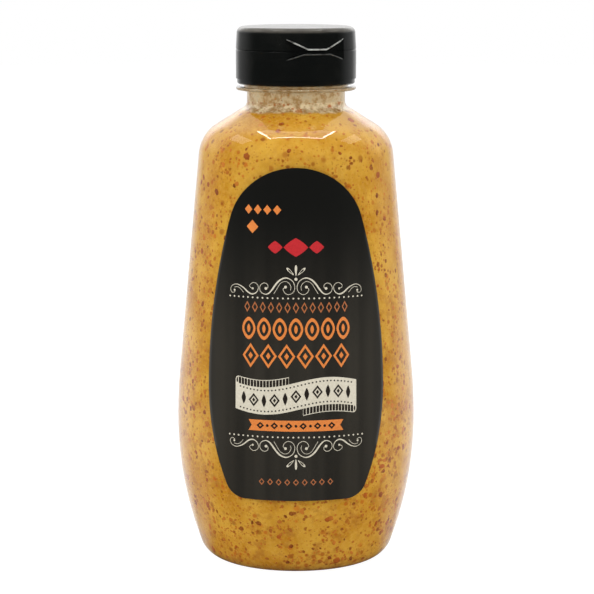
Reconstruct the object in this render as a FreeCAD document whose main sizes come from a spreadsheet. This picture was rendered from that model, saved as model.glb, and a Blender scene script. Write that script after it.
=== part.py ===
"""Round squeeze bottle of whole-grain mustard with a hinged flip-top cap.

Millimetres, +Z up. The origin is the centre of the foot, where the bottle's
axis meets the surface that it stands on. The front label faces -Y.

The blow-moulded bottle is a body of revolution: a wide belly low down, sides
that lean in up to a round shoulder, a short neck, a support ring and a plain
finish under the cap. The mustard fills it to the foot of the neck, where the
bottle is parted into two nodes. An arch-shaped label lies on the front and
another on the back. The cap has two
pieces, a base that seats on the neck's rim and a lid that swings on a hinge
line at the back, opposite the thumb recess. The cap is turned about the
bottle's axis, as a closure stops where its thread ends.
"""
import FreeCAD, Part
import math
import os

import Sketcher

DIMENSIONS = [
    # bottle, outside
    ("belly_radius", 33.2, "widest radius, low on the body"),
    ("belly_height", 39.6, "height of the widest radius"),
    ("belly_round", 149.0, "radius of the arc above the belly"),
    ("foot_radius", 20.4, "outer edge of the flat foot ring"),
    ("foot_bore", 16.8, "inner edge of the flat foot ring"),
    ("heel_round", 6.9, "radius of the heel above the foot"),
    ("punt_rise", 1.8, "rise of the dome under the base"),
    ("side_lean", 5.3, "angle of the upper sides from vertical, degrees"),
    ("shoulder_round", 10.6, "radius of the shoulder"),
    ("shoulder_slope", 58.0, "angle of the upper shoulder from vertical, degrees"),
    ("neck_fillet", 1.9, "fillet from shoulder to neck"),
    ("neck_radius", 13.6, "outside of the neck below the ring"),
    ("neck_height", 128.1, "where the neck becomes straight"),
    ("bottle_wall", 1.1, "wall of body and neck"),
    # bottle, finish
    ("finish_step", 0.8, "finish beyond the neck"),
    ("finish_radius", "=neck_radius + finish_step", "outside of the finish"),
    ("ring_reach", 2.2, "support ring beyond the finish"),
    ("ring_radius", "=finish_radius + ring_reach", "outside of the support ring"),
    ("neck_length", 3.1, "straight neck under the support ring"),
    ("ring_height", "=neck_height + neck_length", "underside of the support ring"),
    ("ring_thick", 1.0, "thickness of the support ring"),
    ("finish_length", 7.0, "from the support ring's top to the rim"),
    # contents
    ("fill_drop", 2.1, "mustard below the straight neck"),
    ("fill_height", "=neck_height - fill_drop", "level of the mustard"),
    # labels
    ("label_thick", 0.15, "thickness of each label"),
    ("label_drop", 16.0, "top of the arch below the straight neck"),
    ("label_top", "=neck_height - label_drop", "top of the arch"),
    ("label_foot", 22.3, "straight bottom edge"),
    ("label_reach", 23.7, "half width at the widest, seen from the front"),
    ("label_wide_at", 52.5, "height of the widest place"),
    ("label_arch", 18.3, "radius of the arch"),
    ("label_side", 75.0, "radius of the sides below the widest place"),
    ("label_corner", 5.5, "radius of the bottom corners"),
    # cap
    ("skirt_clearance", 0.1, "between the finish and the cap's skirt"),
    ("skirt_wall", 2.1, "wall of the cap's skirt"),
    ("cap_radius", "=finish_radius + skirt_clearance + skirt_wall", "lid and base"),
    ("cap_turn", 21.0, "turn of the cap about the bottle's axis, degrees"),
    ("cap_gap", 0.7, "air between the support ring and the cap"),
    ("band_inset", 0.35, "step in at the foot of the cap"),
    ("band_tall", 1.5, "height of the stepped-in band"),
    ("deck_thick", 3.2, "deck of the base above the rim"),
    ("lid_tall", 6.2, "lid from parting line to top"),
    ("lid_wall", 1.3, "side wall and top of the lid"),
    ("lid_draft", 0.25, "how much narrower the lid is at its top"),
    ("lid_round", 1.8, "round of the lid's top edge"),
    ("parting_bevel", 0.2, "bevels that make the parting groove"),
    # spout and plug
    ("spout_radius", 4.2, "foot of the spout"),
    ("spout_taper", 0.8, "how much narrower the spout is at its top"),
    ("spout_tall", 3.0, "height of the spout above the deck"),
    ("orifice_radius", 1.6, "hole through spout and deck"),
    ("plug_clearance", 0.3, "between the lid's plug and the orifice"),
    ("plug_entry", 1.0, "how far the plug enters the orifice"),
    # thumb recess, heights counted from the parting plane
    ("recess_deep", 1.6, "depth of the recess"),
    ("recess_half", 8.4, "half width of the recess"),
    ("recess_lid_half", 2.6, "half width of the lip's level edge"),
    ("recess_lid_low", 0.45, "lip's level edge above the parting plane"),
    ("recess_lid_high", 3.2, "lid side of the recess at its ends"),
    ("recess_base_half", 3.8, "half width of the level edge on the base"),
    ("recess_base_low", 0.8, "level edge on the base below the parting plane"),
    ("recess_base_high", 2.35, "base side of the recess at its ends"),
    ("recess_liner", 1.1, "wall behind the recess in the lid"),
    ("recess_edge", 0.22, "round of the recess edges"),
    # hinge
    ("hinge_reach", 1.1, "hinge line beyond the cap's side"),
    ("hinge_width", 12.0, "width of the hinge tabs"),
    ("hinge_bead", 0.4, "radius of the rolled bead on the hinge line"),
    ("hinge_tab", 0.6, "thickness of each hinge tab"),
    ("hinge_clearance", 0.06, "between the bead and the lid's tab"),
]

doc = FreeCAD.newDocument("mustard_bottle")
V = FreeCAD.Vector


def make_sheet():
    """One row for each size, under its alias. A size that follows others is a formula."""
    sheet = doc.addObject("Spreadsheet::Sheet", "dims")
    for row, (alias, value, note) in enumerate(DIMENSIONS, start=1):
        sheet.set(f"A{row}", note)
        sheet.set(f"B{row}", str(value))
        sheet.setAlias(f"B{row}", alias)
    doc.recompute()
    return sheet


sheet = make_sheet()


def dim(alias):
    return float(getattr(sheet, alias))


# Planes that several pieces share, as expressions and as numbers.
RIM = "dims.ring_height + dims.ring_thick + dims.finish_length"
PARTING = f"({RIM} + dims.deck_thick)"
CAP_FOOT = "(dims.ring_height + dims.ring_thick + dims.cap_gap)"
rim_height = dim("ring_height") + dim("ring_thick") + dim("finish_length")
parting_height = rim_height + dim("deck_thick")
cap_foot = dim("ring_height") + dim("ring_thick") + dim("cap_gap")


# ---------------------------------------------------------------- helpers


def new_body(label):
    body = doc.addObject("PartDesign::Body", label + "_body")
    body.Label = label
    return body


def sketch_on(body, role, name, offset=0.0):
    """An empty sketch on one of the body's own origin planes."""
    sketch = body.newObject("Sketcher::SketchObject", name)
    plane = next(f for f in body.Origin.OriginFeatures if f.Role == role)
    sketch.AttachmentSupport = [(plane, "")]
    sketch.MapMode = "FlatFace"
    sketch.AttachmentOffset = FreeCAD.Placement(V(0, 0, offset), FreeCAD.Rotation())
    return sketch


def bind(sketch, index, formula):
    sketch.setExpression(f"Constraints[{index}]", formula)


def set_x(sketch, geo, pos, formula):
    """The point's distance from the vertical axis follows the formula."""
    point = sketch.getPoint(geo, pos)
    rule = Sketcher.Constraint("DistanceX", -1, 1, geo, pos, point.x)
    bind(sketch, sketch.addConstraint(rule), formula)


def set_y(sketch, geo, pos, formula):
    """The point's height above the horizontal axis follows the formula."""
    point = sketch.getPoint(geo, pos)
    rule = Sketcher.Constraint("DistanceY", -1, 1, geo, pos, point.y)
    bind(sketch, sketch.addConstraint(rule), formula)


def set_radius(sketch, geo, formula):
    rule = Sketcher.Constraint("Radius", geo, sketch.Geometry[geo].Radius)
    bind(sketch, sketch.addConstraint(rule), formula)


def add_line(sketch, start, end):
    return sketch.addGeometry(Part.LineSegment(V(*start, 0), V(*end, 0)), False)


def add_arc(sketch, centre, radius, start_angle, end_angle):
    """An arc that runs anticlockwise from start_angle to end_angle, radians."""
    circle = Part.Circle(V(*centre, 0), V(0, 0, 1), radius)
    return sketch.addGeometry(Part.ArcOfCircle(circle, start_angle, end_angle), False)


def join(sketch, kind, first, first_pos, second, second_pos):
    sketch.addConstraint(Sketcher.Constraint(kind, first, first_pos, second, second_pos))


def polygon(sketch, corners):
    """A closed outline through (x, x formula, y, y formula) corners."""
    lines = []
    for here, there in zip(corners, corners[1:] + corners[:1]):
        lines.append(add_line(sketch, (here[0], here[2]), (there[0], there[2])))
    for line, following in zip(lines, lines[1:] + lines[:1]):
        join(sketch, "Coincident", line, 2, following, 1)
    for line, (x, x_formula, y, y_formula) in zip(lines, corners):
        if x_formula is None:
            sketch.addConstraint(Sketcher.Constraint("PointOnObject", line, 1, -2))
        else:
            set_x(sketch, line, 1, x_formula)
        if y_formula is None:
            sketch.addConstraint(Sketcher.Constraint("PointOnObject", line, 1, -1))
        else:
            set_y(sketch, line, 1, y_formula)
    return lines


def turn(body, kind, sketch, name, angle=360.0, reverse=False):
    """A Revolution or a Groove of the sketch about the bottle's axis."""
    feature = body.newObject(f"PartDesign::{kind}", name)
    feature.Profile = sketch
    feature.ReferenceAxis = (sketch, ["V_Axis"])
    feature.Angle = angle
    feature.Reversed = reverse
    sketch.Visibility = False
    doc.recompute()
    return feature


# ---------------------------------------------------------------- bottle


def side_profile(sketch, offset, offset_formula, top, top_formula):
    """Closed half section of the bottle's outline, moved outwards by offset.

    It runs up the heel, the belly, the leaning side, the shoulder and the
    neck to the height called top, and closes along the axis. Every arc keeps
    its centre whatever the offset, so that two such profiles are parallel.
    """
    belly_r, belly_z = dim("belly_radius") + offset, dim("belly_height")
    heel, foot_r = dim("heel_round") + offset, dim("foot_radius")
    heel_z = dim("heel_round")
    across, up = belly_r - foot_r, belly_z - heel_z
    lower = (across**2 + up**2 - heel**2) / (2 * (across - heel))
    lower_x = belly_r - lower
    heel_turn = math.atan2(heel_z - belly_z, foot_r - lower_x)
    lean, slope = math.radians(dim("side_lean")), math.radians(dim("shoulder_slope"))
    upper = dim("belly_round") + offset
    upper_x = belly_r - upper
    shoulder = dim("shoulder_round") + offset
    fillet = dim("neck_fillet") - offset
    neck_r, neck_z = dim("neck_radius") + offset, dim("neck_height")
    fillet_x = neck_r + fillet

    # The shoulder's centre lies one shoulder radius inside both straight lines.
    def inner_distance(point_x, point_z, angle):
        return point_x * math.cos(angle) + point_z * math.sin(angle)

    side_d = inner_distance(upper_x, belly_z, lean) + upper - shoulder
    slope_d = inner_distance(fillet_x, neck_z, slope) - fillet - shoulder
    spread = math.sin(slope - lean)
    centre_x = (side_d * math.sin(slope) - slope_d * math.sin(lean)) / spread
    centre_z = (slope_d * math.cos(lean) - side_d * math.cos(slope)) / spread

    def on_arc(centre, radius, angle):
        return (
            centre[0] + radius * math.cos(angle),
            centre[1] + radius * math.sin(angle),
        )

    side_start = on_arc((upper_x, belly_z), upper, lean)
    side_end = on_arc((centre_x, centre_z), shoulder, lean)
    slope_start = on_arc((centre_x, centre_z), shoulder, slope)
    slope_end = on_arc((fillet_x, neck_z), -fillet, slope)
    base_z = heel_z - heel

    floor = add_line(sketch, (0, base_z), (foot_r, base_z))
    heel_arc = add_arc(sketch, (foot_r, heel_z), heel, -math.pi / 2, heel_turn)
    lower_arc = add_arc(sketch, (lower_x, belly_z), lower, heel_turn, 0)
    upper_arc = add_arc(sketch, (upper_x, belly_z), upper, 0, lean)
    side = add_line(sketch, side_start, side_end)
    shoulder_arc = add_arc(sketch, (centre_x, centre_z), shoulder, lean, slope)
    incline = add_line(sketch, slope_start, slope_end)
    fillet_arc = add_arc(
        sketch, (fillet_x, neck_z), fillet, math.pi, math.pi + slope
    )
    neck = add_line(sketch, (neck_r, neck_z), (neck_r, top))
    lid = add_line(sketch, (neck_r, top), (0, top))
    axis = add_line(sketch, (0, top), (0, base_z))

    join(sketch, "Tangent", floor, 2, heel_arc, 1)
    join(sketch, "Tangent", heel_arc, 2, lower_arc, 1)
    join(sketch, "Tangent", lower_arc, 2, upper_arc, 1)
    join(sketch, "Tangent", upper_arc, 2, side, 1)
    join(sketch, "Tangent", side, 2, shoulder_arc, 1)
    join(sketch, "Tangent", shoulder_arc, 2, incline, 1)
    join(sketch, "Tangent", incline, 2, fillet_arc, 2)
    join(sketch, "Tangent", fillet_arc, 1, neck, 1)
    join(sketch, "Coincident", neck, 2, lid, 1)
    join(sketch, "Coincident", lid, 2, axis, 1)
    join(sketch, "Coincident", axis, 2, floor, 1)
    for rule, geo in (
        ("Horizontal", floor),
        ("Vertical", neck),
        ("Horizontal", lid),
    ):
        sketch.addConstraint(Sketcher.Constraint(rule, geo))
    sketch.addConstraint(Sketcher.Constraint("PointOnObject", axis, 1, -2))
    sketch.addConstraint(Sketcher.Constraint("PointOnObject", axis, 2, -2))
    set_radius(sketch, heel_arc, f"dims.heel_round + {offset_formula}")
    set_x(sketch, heel_arc, 3, "dims.foot_radius")
    set_y(sketch, heel_arc, 3, "dims.heel_round")
    set_x(sketch, lower_arc, 2, f"dims.belly_radius + {offset_formula}")
    set_y(sketch, lower_arc, 2, "dims.belly_height")
    set_y(sketch, lower_arc, 3, "dims.belly_height")
    set_radius(sketch, upper_arc, f"dims.belly_round + {offset_formula}")
    for line, alias in ((side, "side_lean"), (incline, "shoulder_slope")):
        angle = math.pi / 2 + math.radians(dim(alias))
        rule = Sketcher.Constraint("Angle", line, angle)
        bind(sketch, sketch.addConstraint(rule), f"(90 + dims.{alias}) * 1 deg")
    set_radius(sketch, shoulder_arc, f"dims.shoulder_round + {offset_formula}")
    set_radius(sketch, fillet_arc, f"dims.neck_fillet - ({offset_formula})")
    set_x(sketch, fillet_arc, 1, f"dims.neck_radius + {offset_formula}")
    set_y(sketch, fillet_arc, 1, "dims.neck_height")
    set_y(sketch, neck, 2, top_formula)


def dome_profile(sketch, lift, lift_formula):
    """Half section of the dome under the base, raised by lift."""
    rise, reach = dim("punt_rise"), dim("foot_bore")
    radius = (reach**2 + rise**2) / (2 * rise)
    edge = math.acos(reach / radius)
    crown = add_arc(
        sketch, (0, lift + rise - radius), radius, edge, math.pi / 2
    )
    axis = add_line(sketch, (0, lift + rise), (0, 0))
    floor = add_line(sketch, (0, 0), (reach, 0))
    join(sketch, "Coincident", crown, 2, axis, 1)
    join(sketch, "Coincident", axis, 2, floor, 1)
    join(sketch, "Coincident", floor, 1, -1, 1)
    sketch.addConstraint(Sketcher.Constraint("Horizontal", floor))
    sketch.addConstraint(Sketcher.Constraint("PointOnObject", axis, 1, -2))
    sketch.addConstraint(Sketcher.Constraint("PointOnObject", crown, 3, -2))
    if lift:
        side = add_line(sketch, (reach, 0), (reach, lift))
        join(sketch, "Coincident", floor, 2, side, 1)
        join(sketch, "Coincident", side, 2, crown, 1)
        sketch.addConstraint(Sketcher.Constraint("Vertical", side))
        set_y(sketch, side, 2, lift_formula)
    else:
        join(sketch, "Coincident", floor, 2, crown, 1)
    set_x(sketch, floor, 2, "dims.foot_bore")
    set_y(sketch, axis, 1, f"dims.punt_rise + {lift_formula}")


def finish_profile(sketch):
    """Half section of the support ring and of the finish above it."""
    low, thick = dim("ring_height"), dim("ring_thick")
    inner, ring, finish = dim("neck_radius"), dim("ring_radius"), dim("finish_radius")
    half, bore = thick / 2, inner - dim("bottle_wall") / 2
    under = add_line(sketch, (bore, low), (ring - half, low))
    edge = add_arc(sketch, (ring - half, low + half), half, -math.pi / 2, math.pi / 2)
    over = add_line(sketch, (ring - half, low + thick), (finish, low + thick))
    wall = add_line(sketch, (finish, low + thick), (finish, rim_height))
    rim = add_line(sketch, (finish, rim_height), (bore, rim_height))
    inside = add_line(sketch, (bore, rim_height), (bore, low))
    join(sketch, "Tangent", under, 2, edge, 1)
    join(sketch, "Tangent", edge, 2, over, 1)
    join(sketch, "Coincident", over, 2, wall, 1)
    join(sketch, "Coincident", wall, 2, rim, 1)
    join(sketch, "Coincident", rim, 2, inside, 1)
    join(sketch, "Coincident", inside, 2, under, 1)
    for rule, geo in (
        ("Horizontal", under),
        ("Horizontal", over),
        ("Vertical", wall),
        ("Horizontal", rim),
        ("Vertical", inside),
    ):
        sketch.addConstraint(Sketcher.Constraint(rule, geo))
    set_x(sketch, under, 1, "dims.neck_radius - dims.bottle_wall / 2")
    set_y(sketch, under, 1, "dims.ring_height")
    set_radius(sketch, edge, "dims.ring_thick / 2")
    set_x(sketch, edge, 3, "dims.ring_radius - dims.ring_thick / 2")
    set_x(sketch, wall, 1, "dims.finish_radius")
    set_y(sketch, wall, 2, RIM)


def make_bottle():
    """The clear bottle, in two nodes that meet at the mustard's level.

    It is moulded in one piece. The neck is a node of its own so that simple
    collision pieces can go round the headspace.
    """
    body = new_body("bottle_whole")
    wall = dim("bottle_wall")
    outside = sketch_on(body, "XZ_Plane", "bottle_outside")
    side_profile(outside, 0.0, "0", rim_height, RIM)
    turn(body, "Revolution", outside, "bottle_form")
    finish = sketch_on(body, "XZ_Plane", "bottle_finish")
    finish_profile(finish)
    turn(body, "Revolution", finish, "finish_form")
    cavity = sketch_on(body, "XZ_Plane", "bottle_cavity")
    side_profile(cavity, -wall, "(-dims.bottle_wall)", rim_height + 1, RIM + " + 1")
    turn(body, "Groove", cavity, "cavity_cut")
    boss = sketch_on(body, "XZ_Plane", "dome_inside")
    dome_profile(boss, wall, "dims.bottle_wall")
    turn(body, "Revolution", boss, "dome_form")
    punt = sketch_on(body, "XZ_Plane", "dome_outside")
    dome_profile(punt, 0.0, "0")
    turn(body, "Groove", punt, "dome_cut")
    above = doc.addObject("Part::Cylinder", "neck_zone")
    above.setExpression("Radius", "2 * dims.belly_radius")
    above.setExpression("Height", f"{RIM} - dims.fill_height + 1")
    above.setExpression("Placement.Base.z", "dims.fill_height")
    lower = boolean("Cut", "bottle_below", body, above)
    upper = boolean("Common", "bottle_above", body, above)
    lower.Label, upper.Label = "bottle", "bottle_neck"
    return lower, upper


def make_mustard():
    """The mustard: all of the cavity up to the fill level."""
    body = new_body("mustard")
    wall = dim("bottle_wall")
    filling = sketch_on(body, "XZ_Plane", "mustard_section")
    side_profile(filling, -wall, "(-dims.bottle_wall)", rim_height, RIM)
    turn(body, "Revolution", filling, "mustard_form")
    dome = sketch_on(body, "XZ_Plane", "mustard_dome")
    dome_profile(dome, wall, "dims.bottle_wall")
    turn(body, "Groove", dome, "mustard_dome_cut")
    space = sketch_on(body, "XZ_Plane", "headspace_section")
    reach, low, high = dim("belly_radius"), dim("fill_height"), rim_height + 1
    polygon(
        space,
        [
            (0, None, low, "dims.fill_height"),
            (reach, "dims.belly_radius", low, "dims.fill_height"),
            (reach, "dims.belly_radius", high, RIM + " + 1"),
            (0, None, high, RIM + " + 1"),
        ],
    )
    turn(body, "Groove", space, "headspace_cut")
    return body


# ---------------------------------------------------------------- labels


def label_outline(sketch):
    """Everything on the right that lies outside the label's outline.

    The outline, seen from the front, is an arch, a long arc down each side
    that is upright at the widest place, and round bottom corners.
    """
    top, foot, reach = dim("label_top"), dim("label_foot"), dim("label_reach")
    wide_z, arch = dim("label_wide_at"), dim("label_arch")
    low_side, corner = dim("label_side"), dim("label_corner")
    margin = dim("belly_radius")
    arch_z = top - arch
    up = arch_z - wide_z
    side = (reach**2 + up**2 - arch**2) / (2 * (reach - arch))
    side_x, low_x = reach - side, reach - low_side
    arch_turn = math.atan2(arch_z - wide_z, -side_x)
    drop = wide_z - foot - corner
    corner_x = low_x + math.sqrt((low_side - corner) ** 2 - drop**2)
    corner_turn = math.atan2(-drop, corner_x - low_x)

    arch_arc = add_arc(sketch, (0, arch_z), arch, arch_turn, math.pi / 2)
    side_arc = add_arc(sketch, (side_x, wide_z), side, 0, arch_turn)
    low_arc = add_arc(sketch, (low_x, wide_z), low_side, corner_turn, 0)
    corner_arc = add_arc(
        sketch, (corner_x, foot + corner), corner, -math.pi / 2, corner_turn
    )
    edge = add_line(sketch, (corner_x, foot), (0, foot))
    down = add_line(sketch, (0, foot), (0, foot - margin))
    under = add_line(sketch, (0, foot - margin), (2 * margin, foot - margin))
    out = add_line(sketch, (2 * margin, foot - margin), (2 * margin, top + margin))
    over = add_line(sketch, (2 * margin, top + margin), (0, top + margin))
    back = add_line(sketch, (0, top + margin), (0, top))
    join(sketch, "Tangent", arch_arc, 1, side_arc, 2)
    join(sketch, "Tangent", side_arc, 1, low_arc, 2)
    join(sketch, "Tangent", low_arc, 1, corner_arc, 2)
    join(sketch, "Tangent", corner_arc, 1, edge, 1)
    for first, second in ((edge, down), (down, under), (under, out), (out, over)):
        join(sketch, "Coincident", first, 2, second, 1)
    join(sketch, "Coincident", over, 2, back, 1)
    join(sketch, "Coincident", back, 2, arch_arc, 2)
    for geo, pos in ((edge, 2), (under, 1), (over, 2), (back, 2), (arch_arc, 3)):
        sketch.addConstraint(Sketcher.Constraint("PointOnObject", geo, pos, -2))
    for rule, geo in (("Horizontal", edge), ("Horizontal", under), ("Horizontal", over)):
        sketch.addConstraint(Sketcher.Constraint(rule, geo))
    sketch.addConstraint(Sketcher.Constraint("Vertical", out))
    set_y(sketch, arch_arc, 2, "dims.label_top")
    set_radius(sketch, arch_arc, "dims.label_arch")
    set_x(sketch, side_arc, 1, "dims.label_reach")
    set_y(sketch, side_arc, 1, "dims.label_wide_at")
    set_y(sketch, side_arc, 3, "dims.label_wide_at")
    set_radius(sketch, low_arc, "dims.label_side")
    set_radius(sketch, corner_arc, "dims.label_corner")
    set_y(sketch, edge, 2, "dims.label_foot")
    set_y(sketch, under, 1, "dims.label_foot - dims.belly_radius")
    set_x(sketch, out, 1, "2 * dims.belly_radius")
    set_y(sketch, over, 2, "dims.label_top + dims.belly_radius")


def make_label(label, facing):
    """A label on the bottle's surface, turned about the axis by facing."""
    body = new_body(label)
    thick = dim("label_thick")
    top = dim("label_top") + dim("belly_radius")
    top_formula = "dims.label_top + dims.belly_radius"
    face = sketch_on(body, "XZ_Plane", label + "_face")
    side_profile(face, thick, "dims.label_thick", top, top_formula)
    turn(body, "Revolution", face, label + "_form", 180.0, True)
    under = sketch_on(body, "XZ_Plane", label + "_under")
    side_profile(under, 0.0, "0", top + 1, top_formula + " + 1")
    turn(body, "Groove", under, label + "_under_cut")
    trim = sketch_on(body, "XZ_Plane", label + "_outline")
    label_outline(trim)
    cut = body.newObject("PartDesign::Pocket", label + "_trim")
    cut.Profile = trim
    cut.Type = "ThroughAll"
    cut.Reversed = True
    trim.Visibility = False
    doc.recompute()
    other_half = body.newObject("PartDesign::Mirrored", label + "_trim_left")
    other_half.Originals = [cut]
    mirror = next(f for f in body.Origin.OriginFeatures if f.Role == "YZ_Plane")
    other_half.MirrorPlane = (mirror, [""])
    body.Tip = other_half
    body.Placement = FreeCAD.Placement(V(), FreeCAD.Rotation(V(0, 0, 1), facing))
    doc.recompute()
    return body


# ---------------------------------------------------------------- cap


def base_profile(sketch):
    """Half section of the cap's base: skirt, deck and spout with its hole."""
    outer, inset = dim("cap_radius"), dim("band_inset")
    bevel, step = dim("parting_bevel"), cap_foot + dim("band_tall")
    bore = dim("finish_radius") + dim("skirt_clearance")
    spout, taper = dim("spout_radius"), dim("spout_taper")
    hole, tip = dim("orifice_radius"), parting_height + dim("spout_tall")
    skirt = "dims.finish_radius + dims.skirt_clearance"
    tip_formula = PARTING + " + dims.spout_tall"
    band = "dims.cap_radius - dims.band_inset"
    polygon(
        sketch,
        [
            (bore, skirt, cap_foot, CAP_FOOT),
            (outer - 2 * inset, band + " - dims.band_inset", cap_foot, CAP_FOOT),
            (outer - inset, band, cap_foot + inset, CAP_FOOT + " + dims.band_inset"),
            (outer - inset, band, step, CAP_FOOT + " + dims.band_tall"),
            (outer, "dims.cap_radius", step, CAP_FOOT + " + dims.band_tall"),
            (
                outer,
                "dims.cap_radius",
                parting_height - bevel,
                PARTING + " - dims.parting_bevel",
            ),
            (
                outer - bevel,
                "dims.cap_radius - dims.parting_bevel",
                parting_height,
                PARTING,
            ),
            (spout, "dims.spout_radius", parting_height, PARTING),
            (spout - taper, "dims.spout_radius - dims.spout_taper", tip, tip_formula),
            (hole, "dims.orifice_radius", tip, tip_formula),
            (hole, "dims.orifice_radius", rim_height, RIM),
            (bore, skirt, rim_height, RIM),
        ],
    )


def lid_profile(sketch):
    """Half section of the lid: a shallow cup with a plug under its top."""
    outer, draft = dim("cap_radius"), dim("lid_draft")
    bevel, wall = dim("parting_bevel"), dim("lid_wall")
    low, top = parting_height, parting_height + dim("lid_tall")
    ceiling, corner = top - wall, dim("lid_round")
    plug = dim("orifice_radius") - dim("plug_clearance")
    tip = low + dim("spout_tall") - dim("plug_entry")
    narrow = outer - draft
    top_formula = PARTING + " + dims.lid_tall"
    ceiling_formula = top_formula + " - dims.lid_wall"
    plug_formula = "dims.orifice_radius - dims.plug_clearance"
    tip_formula = PARTING + " + dims.spout_tall - dims.plug_entry"

    seat = add_line(sketch, (outer - wall, low), (outer - bevel, low))
    groove = add_line(sketch, (outer - bevel, low), (outer, low + bevel))
    side = add_line(sketch, (outer, low + bevel), (narrow, top - corner))
    lean = math.atan2(draft, dim("lid_tall") - corner - bevel)
    # The round is tangent to the leaning side and to the level top.
    centre_x = narrow - corner * math.cos(lean)
    centre_z = top - corner
    crown = add_arc(sketch, (centre_x, centre_z), corner, lean, math.pi / 2)
    cover = add_line(sketch, (centre_x, top), (0, top))
    axis = add_line(sketch, (0, top), (0, tip))
    plug_end = add_line(sketch, (0, tip), (plug, tip))
    plug_side = add_line(sketch, (plug, tip), (plug, ceiling))
    roof = add_line(sketch, (plug, ceiling), (outer - wall, ceiling))
    inside = add_line(sketch, (outer - wall, ceiling), (outer - wall, low))
    join(sketch, "Coincident", seat, 2, groove, 1)
    join(sketch, "Coincident", groove, 2, side, 1)
    join(sketch, "Tangent", side, 2, crown, 1)
    join(sketch, "Tangent", crown, 2, cover, 1)
    join(sketch, "Coincident", cover, 2, axis, 1)
    join(sketch, "Coincident", axis, 2, plug_end, 1)
    join(sketch, "Coincident", plug_end, 2, plug_side, 1)
    join(sketch, "Coincident", plug_side, 2, roof, 1)
    join(sketch, "Coincident", roof, 2, inside, 1)
    join(sketch, "Coincident", inside, 2, seat, 1)
    for rule, geo in (
        ("Horizontal", seat),
        ("Horizontal", cover),
        ("Horizontal", plug_end),
        ("Vertical", plug_side),
        ("Horizontal", roof),
        ("Vertical", inside),
    ):
        sketch.addConstraint(Sketcher.Constraint(rule, geo))
    for geo, pos in ((axis, 1), (axis, 2)):
        sketch.addConstraint(Sketcher.Constraint("PointOnObject", geo, pos, -2))
    set_x(sketch, seat, 1, "dims.cap_radius - dims.lid_wall")
    set_y(sketch, seat, 1, PARTING)
    set_x(sketch, groove, 1, "dims.cap_radius - dims.parting_bevel")
    set_x(sketch, groove, 2, "dims.cap_radius")
    set_y(sketch, groove, 2, PARTING + " + dims.parting_bevel")
    set_x(sketch, side, 2, "dims.cap_radius - dims.lid_draft")
    set_radius(sketch, crown, "dims.lid_round")
    set_y(sketch, cover, 2, top_formula)
    set_y(sketch, axis, 2, tip_formula)
    set_x(sketch, plug_side, 1, plug_formula)
    set_y(sketch, roof, 1, ceiling_formula)


def extrude(name, body, sketch, length_formula):
    """A Pad of the sketch in its own body."""
    pad = body.newObject("PartDesign::Pad", name)
    pad.Profile = sketch
    pad.setExpression("Length", length_formula)
    sketch.Visibility = False
    doc.recompute()


def ring_between(name, inner_formula, outer_formula, low_formula, tall_formula):
    """A tube about the axis, from Part primitives."""
    outer = doc.addObject("Part::Cylinder", name + "_outer")
    inner = doc.addObject("Part::Cylinder", name + "_inner")
    for cylinder, radius in ((outer, outer_formula), (inner, inner_formula)):
        cylinder.setExpression("Radius", radius)
        cylinder.setExpression("Height", tall_formula)
        cylinder.setExpression("Placement.Base.z", low_formula)
    tube = doc.addObject("Part::Cut", name)
    tube.Base, tube.Tool = outer, inner
    doc.recompute()
    return tube


def recess_cutter():
    """The bow-tie space that a thumb reaches into, at the front of the cap.

    The lid's lip stands lowest in the middle and the base rises to meet it,
    so the recess is narrow in the middle and tall at both ends.
    """
    body = new_body("recess_outline")
    sketch = sketch_on(body, "XZ_Plane", "recess_section")
    half, lip, step = dim("recess_half"), dim("recess_lid_half"), dim("recess_base_half")
    mid = parting_height
    ends = [
        (-half, "-dims.recess_half", "recess_lid_high", 1),
        (-lip, "-dims.recess_lid_half", "recess_lid_low", 1),
        (lip, "dims.recess_lid_half", "recess_lid_low", 1),
        (half, "dims.recess_half", "recess_lid_high", 1),
        (half, "dims.recess_half", "recess_base_high", -1),
        (step, "dims.recess_base_half", "recess_base_low", -1),
        (-step, "-dims.recess_base_half", "recess_base_low", -1),
        (-half, "-dims.recess_half", "recess_base_high", -1),
    ]
    corners = []
    for x, x_formula, alias, sign in ends:
        height = mid + sign * dim(alias)
        corners.append((x, x_formula, height, f"{PARTING} + {sign} * dims.{alias}"))
    polygon(sketch, corners)
    # The sketch faces -Y, which is the front.
    extrude("recess_block", body, sketch, "dims.cap_radius + 1")
    tube = ring_between(
        "recess_tube",
        "dims.cap_radius - dims.recess_deep",
        "dims.cap_radius + 1",
        PARTING + " - dims.recess_base_high - 1",
        "dims.recess_base_high + dims.recess_lid_high + 2",
    )
    cutter = doc.addObject("Part::Common", "recess_cutter")
    cutter.Base, cutter.Tool = body, tube
    doc.recompute()
    return cutter


def recess_rim(shape, above):
    """Numbers of the recess edges on the cap's side, above or below the parting."""
    radius, bevel = dim("cap_radius"), dim("parting_bevel")
    play = 0.01
    chosen = []
    for number, edge in enumerate(shape.Edges, start=1):
        first, last = edge.ParameterRange
        points = [edge.valueAt(t) for t in (first, (first + last) / 2, last)]
        reach = [math.hypot(point.x, point.y) for point in points]
        heights = [point.z - parting_height for point in points]
        if above:
            beyond = min(heights) > bevel + play
            within = max(heights) < dim("recess_lid_high") + play
        else:
            beyond = max(heights) < -bevel - play
            within = min(heights) > -dim("recess_base_high") - play
        on_side = min(reach) > radius - dim("lid_draft") - play
        in_front = max(point.y for point in points) < 0
        if on_side and beyond and within and in_front:
            chosen.append(number)
    return chosen


def round_recess(cut, name, above):
    """Rounds the edges where a thumb meets the recess."""
    size = dim("recess_edge")
    fillet = doc.addObject("Part::Fillet", name)
    fillet.Base = cut
    fillet.Edges = [(number, size, size) for number in recess_rim(cut.Shape, above)]
    doc.recompute()
    return fillet


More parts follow.
